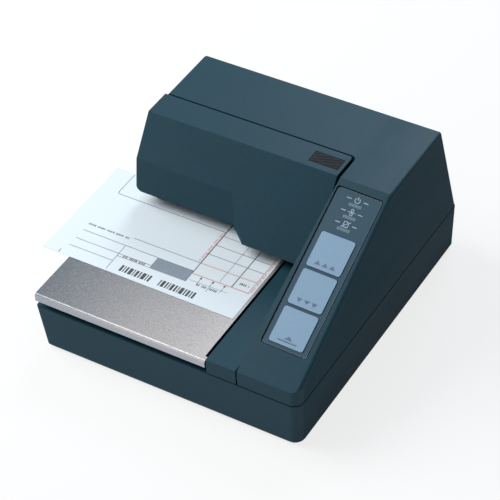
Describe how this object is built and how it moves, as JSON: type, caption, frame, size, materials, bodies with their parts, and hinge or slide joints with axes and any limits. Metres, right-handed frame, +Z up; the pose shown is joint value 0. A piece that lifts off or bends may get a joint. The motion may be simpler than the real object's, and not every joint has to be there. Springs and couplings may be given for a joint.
{
  "type": "slip printer",
  "caption": "Flat-bed slip printer with an overhanging print head housing, a lift-up ribbon cover, a metal slip table and a sloped key panel; a form passes through its open side.",
  "frame": {"origin": "middle of the whole part, slip included, on the surface it stands on", "axes": "+X to the key panel side, +Y to the back, +Z up"},
  "size_m": [0.1994, 0.1966, 0.1053],
  "materials": {
    "case_plastic": "fine-grained matte",
    "guide_plastic": "fine-grained matte",
    "overlay_film": "satin film",
    "key_plastic": "satin",
    "lens_plastic": "frosted clear",
    "grip_rubber": "ribbed matte",
    "table_steel": "fine speckled coat, bright at the lip",
    "slip_paper": "uncoated",
    "frame_steel": "plated sheet",
    "shaft_steel": "ground",
    "screw_steel": "plated",
    "head_metal": "dark cast",
    "motor_steel": "black",
    "pulley_brass": "machined",
    "belt_rubber": "toothed",
    "roller_rubber": "ground",
    "foot_rubber": "matte",
    "gear_plastic": "moulded",
    "dark_plastic": "moulded",
    "cassette_plastic": "moulded",
    "knob_plastic": "moulded",
    "ribbon_cloth": "inked woven",
    "dome_rubber": "silicone",
    "board_green": "solder mask",
    "connector_metal": "tinned",
    "solenoid_brass": "taped coil"
  },
  "bodies": {
    "case": {"lower_case": "case_plastic", "upper_case": "case_plastic", "slip_table": "table_steel", "side_guide": "guide_plastic", "panel_overlay": "overlay_film", "forward_dome": "dome_rubber", "reverse_dome": "dome_rubber", "release_dome": "dome_rubber", "indicator_lenses": "lens_plastic", "keypad_board": "board_green", "side_frame_left": "frame_steel", "side_frame_right": "frame_steel", "rear_frame_plate": "frame_steel", "upper_guide_plate": "frame_steel", "base_frame": "frame_steel", "hinge_brackets": "frame_steel", "hinge_pins": "shaft_steel", "front_guide_shaft": "shaft_steel", "rear_guide_shaft": "shaft_steel", "carriage_motor": "motor_steel", "motor_bracket": "frame_steel", "idler_bracket": "frame_steel", "carriage_belt": "belt_rubber", "ribbon_cassette": "cassette_plastic", "ribbon_band": "ribbon_cloth", "platen": "motor_steel", "feed_motor": "motor_steel", "stopper_solenoid": "solenoid_brass", "slip_sensors": "dark_plastic", "main_board": "board_green", "board_components": "dark_plastic", "interface_connector": "connector_metal", "power_inlet": "dark_plastic", "drawer_port": "dark_plastic", "switch_bezel": "dark_plastic", "ground_screw": "screw_steel", "case_screws": "screw_steel", "board_screws": "screw_steel", "rubber_feet": "foot_rubber"},
    "cover": {"ribbon_cover": "case_plastic", "grip_pad": "grip_rubber"},
    "forward_key": {"forward_key": "key_plastic"},
    "reverse_key": {"reverse_key": "key_plastic"},
    "release_key": {"release_key": "key_plastic"},
    "carriage": {"head_carriage": "dark_plastic", "print_head": "head_metal"},
    "drive_wheel": {"drive_pulley": "pulley_brass"},
    "idler_wheel": {"idler_pulley": "pulley_brass"},
    "winding_knob": {"ribbon_knob": "knob_plastic"},
    "feed_roller": {"feed_shaft": "shaft_steel", "feed_rollers": "roller_rubber", "feed_gear": "gear_plastic"},
    "motor_pinion": {"feed_pinion": "pulley_brass"},
    "press_arm": {"pressure_arm": "frame_steel"},
    "press_roller": {"pressure_rollers": "shaft_steel"},
    "stopper": {"form_stopper": "frame_steel"},
    "rocker": {"power_rocker": "dark_plastic"},
    "slip": {"slip": "slip_paper"}
  },
  "joints": [
    {"name": "cover_hinge", "type": "hinge", "parent": "case", "child": "cover", "pos_m": [-0.00355, 0.022, 0.1007], "axis": [-1, 0, 0], "range_deg": [0, 70]},
    {"name": "forward_press", "type": "slide", "parent": "case", "child": "forward_key", "axis": [0, 0.477, -0.8789], "range_m": [0, 0.0012], "stiffness_N_per_m": 350, "springref_m": -0.001, "deforming": ["forward_dome"]},
    {"name": "reverse_press", "type": "slide", "parent": "case", "child": "reverse_key", "axis": [0, 0.477, -0.8789], "range_m": [0, 0.0012], "stiffness_N_per_m": 350, "springref_m": -0.001, "deforming": ["reverse_dome"]},
    {"name": "release_press", "type": "slide", "parent": "case", "child": "release_key", "axis": [0, 0.477, -0.8789], "range_m": [0, 0.0012], "stiffness_N_per_m": 350, "springref_m": -0.001, "deforming": ["release_dome"]},
    {"name": "carriage_travel", "type": "slide", "parent": "case", "child": "carriage", "axis": [1, 0, 0], "range_m": [-0.077, 0]},
    {"name": "drive_wheel_turn", "type": "hinge", "parent": "case", "child": "drive_wheel", "pos_m": [0.0577, 0.05, 0.0612], "axis": [0, 1, 0], "range_deg": [-735, 5]},
    {"name": "idler_wheel_turn", "type": "hinge", "parent": "case", "child": "idler_wheel", "pos_m": [-0.0543, 0.05, 0.0612], "axis": [0, 1, 0], "range_deg": [-735, 5]},
    {"name": "knob_turn", "type": "hinge", "parent": "case", "child": "winding_knob", "pos_m": [0.0217, 0.0178, 0.0892], "axis": [0, 0, 1], "continuous": true},
    {"name": "feed_turn", "type": "hinge", "parent": "case", "child": "feed_roller", "pos_m": [0.0097, 0.019, 0.03415], "axis": [-1, 0, 0], "range_deg": [-19, 595]},
    {"name": "pinion_turn", "type": "hinge", "parent": "case", "child": "motor_pinion", "pos_m": [0.0457, 0.01562, 0.02155], "axis": [-1, 0, 0], "range_deg": [-1990, 70]},
    {"name": "press_arm_lift", "type": "hinge", "parent": "case", "child": "press_arm", "pos_m": [0.0097, 0.028, 0.0529], "axis": [-1, 0, 0], "range_deg": [0, 8], "stiffness_Nm_per_rad": 0.05, "springref_deg": -22.92},
    {"name": "press_roller_turn", "type": "hinge", "parent": "press_arm", "child": "press_roller", "pos_m": [0.0097, 0.019, 0.0451], "axis": [1, 0, 0], "range_deg": [-50, 1495]},
    {"name": "stopper_lift", "type": "slide", "parent": "case", "child": "stopper", "axis": [0, 0, -1], "range_m": [-0.007, 0]},
    {"name": "power_rock", "type": "hinge", "parent": "case", "child": "rocker", "pos_m": [0.0797, 0.09285, 0.0202], "axis": [-1, 0, 0], "range_deg": [0, 16]},
    {"name": "slip_travel", "type": "slide", "parent": "case", "child": "slip", "axis": [0, 1, 0], "range_m": [-0.0026, 0.078]}
  ],
  "couplings": [
    {"joint": "drive_wheel_turn", "follows": "carriage_travel", "rad_per_m": 163.93},
    {"joint": "idler_wheel_turn", "follows": "carriage_travel", "rad_per_m": 163.93},
    {"joint": "pinion_turn", "follows": "feed_turn", "ratio": -3.3333},
    {"joint": "press_roller_turn", "follows": "feed_turn", "ratio": 2.5},
    {"joint": "slip_travel", "follows": "feed_turn", "m_per_rad": 0.0075}
  ]
}
